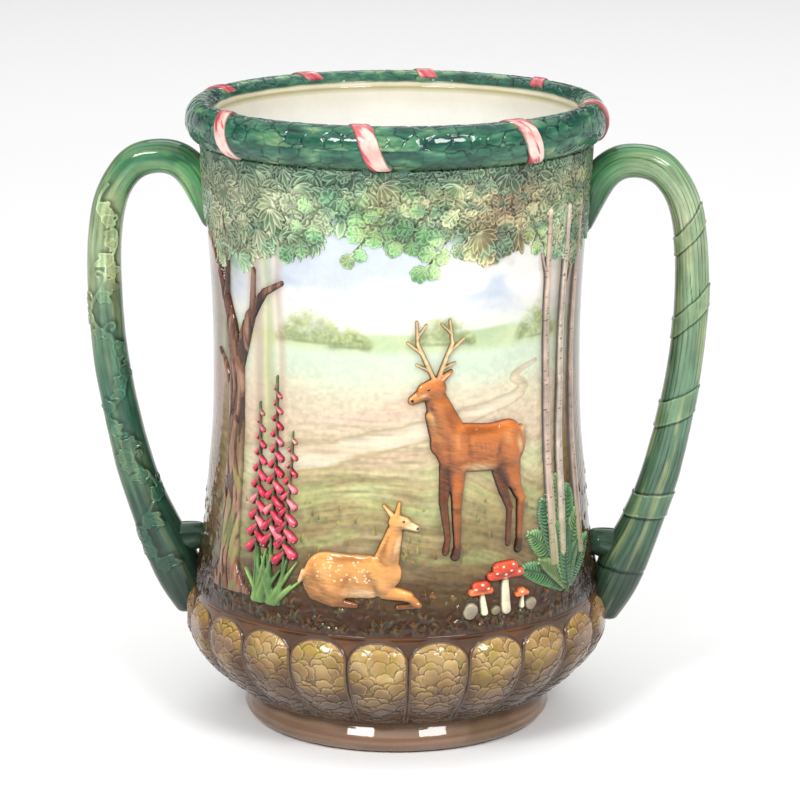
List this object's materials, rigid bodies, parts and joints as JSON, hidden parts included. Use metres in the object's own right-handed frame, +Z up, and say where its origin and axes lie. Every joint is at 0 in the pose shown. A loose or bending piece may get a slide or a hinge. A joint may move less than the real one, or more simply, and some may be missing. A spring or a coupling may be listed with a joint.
{
  "type": "loving cup",
  "caption": "Tall waisted loving cup with two large loop handles, a rolled rim bound with ribbon, a lobed base band and a low-relief woodland scene under glossy glaze.",
  "frame": {"origin": "centre of the foot ring on the table plane", "axes": "+Z up along the cup's axis, +X towards the right handle, -Y towards the painted front"},
  "size_m": [0.2144, 0.147, 0.2165],
  "materials": {
    "body_glaze": "clear glossy glaze over hand-painted underglaze colours",
    "foot_glaze": "clear glossy glaze over pinkish brown",
    "lobe_glaze": "clear glossy glaze over ochre and brown",
    "roll_glaze": "clear glossy glaze over mottled green",
    "ribbon_glaze": "clear glossy glaze over pink and crimson",
    "handle_glaze": "clear glossy glaze over graded greens",
    "leaf_glaze": "clear glossy glaze over leaf greens and olive",
    "bark_glaze": "clear glossy glaze over bark browns",
    "deer_glaze": "clear glossy glaze over russet and ochre",
    "flower_glaze": "clear glossy glaze over crimson and green",
    "toadstool_glaze": "clear glossy glaze over red and cream"
  },
  "bodies": {
    "root": {"vessel_wall": "body_glaze", "foot_ring": "foot_glaze", "lobed_band": "lobe_glaze", "rim_roll": "roll_glaze", "rim_ribbon": "ribbon_glaze", "handle_left": "handle_glaze", "handle_right": "handle_glaze", "handle_ribbon": "handle_glaze", "handle_vine": "leaf_glaze", "leaf_canopy": "leaf_glaze", "oak_relief": "bark_glaze", "birch_relief": "bark_glaze", "foxglove_relief": "flower_glaze", "doe_relief": "deer_glaze", "stag_relief": "deer_glaze", "toadstool_relief": "toadstool_glaze", "fern_relief": "leaf_glaze", "back_birch_relief": "bark_glaze", "back_fern_relief": "leaf_glaze", "back_stag_relief": "deer_glaze", "back_hare_relief": "deer_glaze", "back_foxglove_relief": "flower_glaze", "back_oak_relief": "bark_glaze", "back_toadstool_relief": "toadstool_glaze"}
  },
  "joints": []
}
